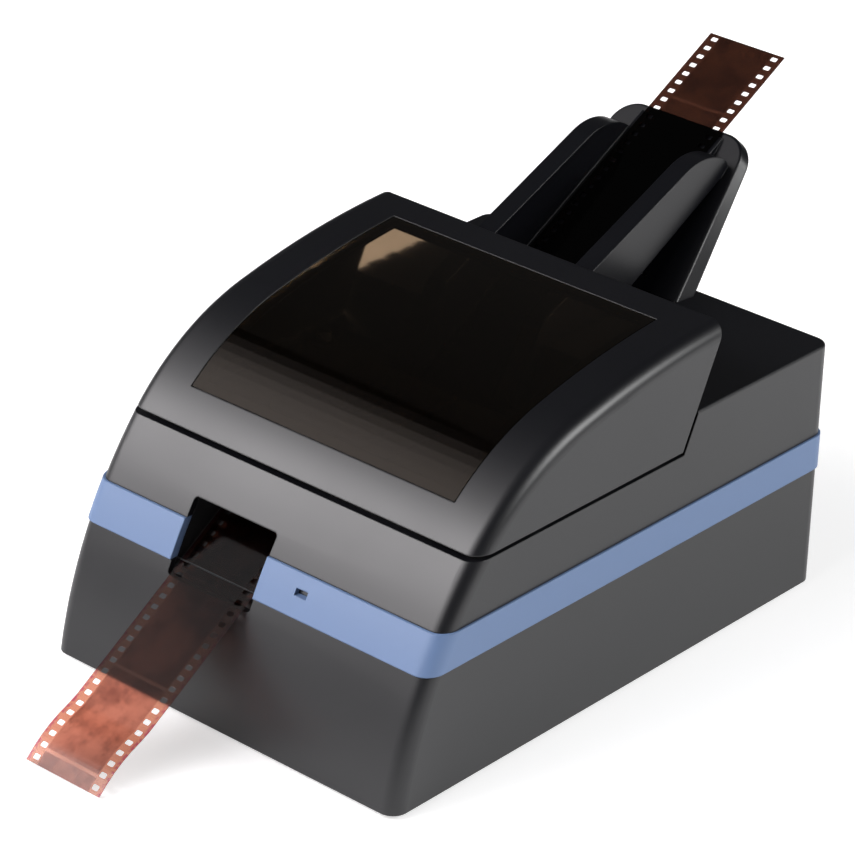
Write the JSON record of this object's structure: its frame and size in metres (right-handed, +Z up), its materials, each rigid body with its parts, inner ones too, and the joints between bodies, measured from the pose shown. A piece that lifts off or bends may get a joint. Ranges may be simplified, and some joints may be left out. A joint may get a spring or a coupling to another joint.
{
  "type": "film negative scanner",
  "caption": "Desktop scanner for strips of 35 mm negatives: wedge-shaped case with a curved front, a hinged windowed hood, a sloping film chute at the back and a film exit in front",
  "frame": {"origin": "On the table under the case, on the case's centre line, midway between the front and the rear tip of the film", "axes": "+X to the object's right seen from the front, +Y to the back, where the film goes in, +Z up"},
  "size_m": [0.1632, 0.3604, 0.1642],
  "materials": {
    "case_black": "moulded",
    "band_blue": "moulded",
    "smoke_window": "polished",
    "inner_black": "moulded",
    "film_base": "polished",
    "steel": "machined",
    "plated_sheet": "plated",
    "roller_rubber": "ground",
    "foot_rubber": "moulded",
    "gear_plastic": "moulded",
    "bush_plastic": "moulded",
    "belt_rubber": "moulded",
    "motor_case": "painted",
    "board_green": "coated",
    "chip_black": "moulded",
    "socket_metal": "plated",
    "cable_grey": "coated",
    "lens_glass": "polished",
    "lens_black": "anodised",
    "diffuser_white": "frosted",
    "light_clear": "polished",
    "screw_zinc": "plated"
  },
  "bodies": {
    "case": {"lower_housing": "case_black", "blue_band": "band_blue", "upper_cover": "case_black", "inner_tray": "inner_black", "hinge_pins": "steel", "hood_buffers": "foot_rubber", "film_chute": "case_black", "exit_throat": "inner_black", "status_light": "light_clear", "frame_plate_left": "plated_sheet", "frame_plate_right": "plated_sheet", "shaft_bushes": "bush_plastic", "gate_lower": "inner_black", "gate_upper": "inner_black", "drive_belt": "belt_rubber", "motor_bracket": "plated_sheet", "drive_motor": "motor_case", "motor_screws": "screw_zinc", "sensor_board": "board_green", "lens_holder": "inner_black", "lens_barrel": "lens_black", "front_lens": "lens_glass", "sensor_screws": "screw_zinc", "lamp_cover": "inner_black", "diffuser": "diffuser_white", "lamp_board": "board_green", "main_board": "board_green", "board_chips": "chip_black", "usb_socket": "socket_metal", "power_jack": "chip_black", "board_screws": "screw_zinc", "sensor_cable": "cable_grey", "switch_body": "inner_black", "rubber_feet": "foot_rubber", "case_screws": "screw_zinc", "tray_screws": "screw_zinc", "frame_screws": "screw_zinc", "chute_screws": "screw_zinc"},
    "hood": {"hood_shell": "case_black", "hood_window": "smoke_window", "hinge_arm_left": "inner_black", "hinge_arm_right": "inner_black"},
    "entrance_roller": {"entrance_shaft": "steel", "entrance_tyres": "roller_rubber", "entrance_pulley": "gear_plastic", "entrance_gear": "gear_plastic"},
    "exit_roller": {"exit_shaft": "steel", "exit_tyres": "roller_rubber", "exit_pulley": "gear_plastic"},
    "entrance_pinch_roller": {"entrance_pinch_shaft": "steel", "entrance_pinch_tyres": "roller_rubber"},
    "exit_pinch_roller": {"exit_pinch_shaft": "steel", "exit_pinch_tyres": "roller_rubber"},
    "motor_rotor": {"motor_shaft": "steel", "motor_pinion": "gear_plastic"},
    "switch_rocker": {"power_rocker": "case_black"},
    "fed_film": {"film_in": "film_base"},
    "scanned_film": {"film_out": "film_base"}
  },
  "joints": [
    {"name": "hood_hinge", "type": "hinge", "parent": "case", "child": "hood", "pos_m": [0, -0.08227, 0.0705], "axis": [1, 0, 0], "range_deg": [0, 80]},
    {"name": "entrance_roller_turn", "type": "hinge", "parent": "case", "child": "entrance_roller", "pos_m": [-0.0177, -0.00077, 0.0617], "axis": [1, 0, 0], "continuous": true},
    {"name": "exit_roller_turn", "type": "hinge", "parent": "case", "child": "exit_roller", "pos_m": [-0.0177, -0.06377, 0.0617], "axis": [1, 0, 0], "continuous": true},
    {"name": "entrance_pinch_turn", "type": "hinge", "parent": "case", "child": "entrance_pinch_roller", "pos_m": [-0.0177, -0.00077, 0.0727], "axis": [1, 0, 0], "continuous": true},
    {"name": "exit_pinch_turn", "type": "hinge", "parent": "case", "child": "exit_pinch_roller", "pos_m": [-0.0177, -0.06377, 0.0727], "axis": [1, 0, 0], "continuous": true},
    {"name": "motor_turn", "type": "hinge", "parent": "case", "child": "motor_rotor", "pos_m": [0.025, -0.01157, 0.04883], "axis": [1, 0, 0], "continuous": true},
    {"name": "power_rocker_tilt", "type": "hinge", "parent": "case", "child": "switch_rocker", "pos_m": [-0.048, 0.10733, 0.026], "axis": [1, 0, 0], "range_deg": [0, 20]},
    {"name": "fed_film_slide", "type": "slide", "parent": "case", "child": "fed_film", "axis": [0, 0.8796, 0.4756], "range_m": [0, 0.12]},
    {"name": "scanned_film_slide", "type": "slide", "parent": "case", "child": "scanned_film", "axis": [0, -1, 0], "range_m": [0, 0.02]}
  ],
  "couplings": [
    {"joint": "exit_roller_turn", "follows": "entrance_roller_turn", "ratio": 1},
    {"joint": "entrance_pinch_turn", "follows": "entrance_roller_turn", "ratio": -1.4286},
    {"joint": "exit_pinch_turn", "follows": "entrance_roller_turn", "ratio": -1.4286},
    {"joint": "motor_turn", "follows": "entrance_roller_turn", "ratio": -2.5}
  ]
}
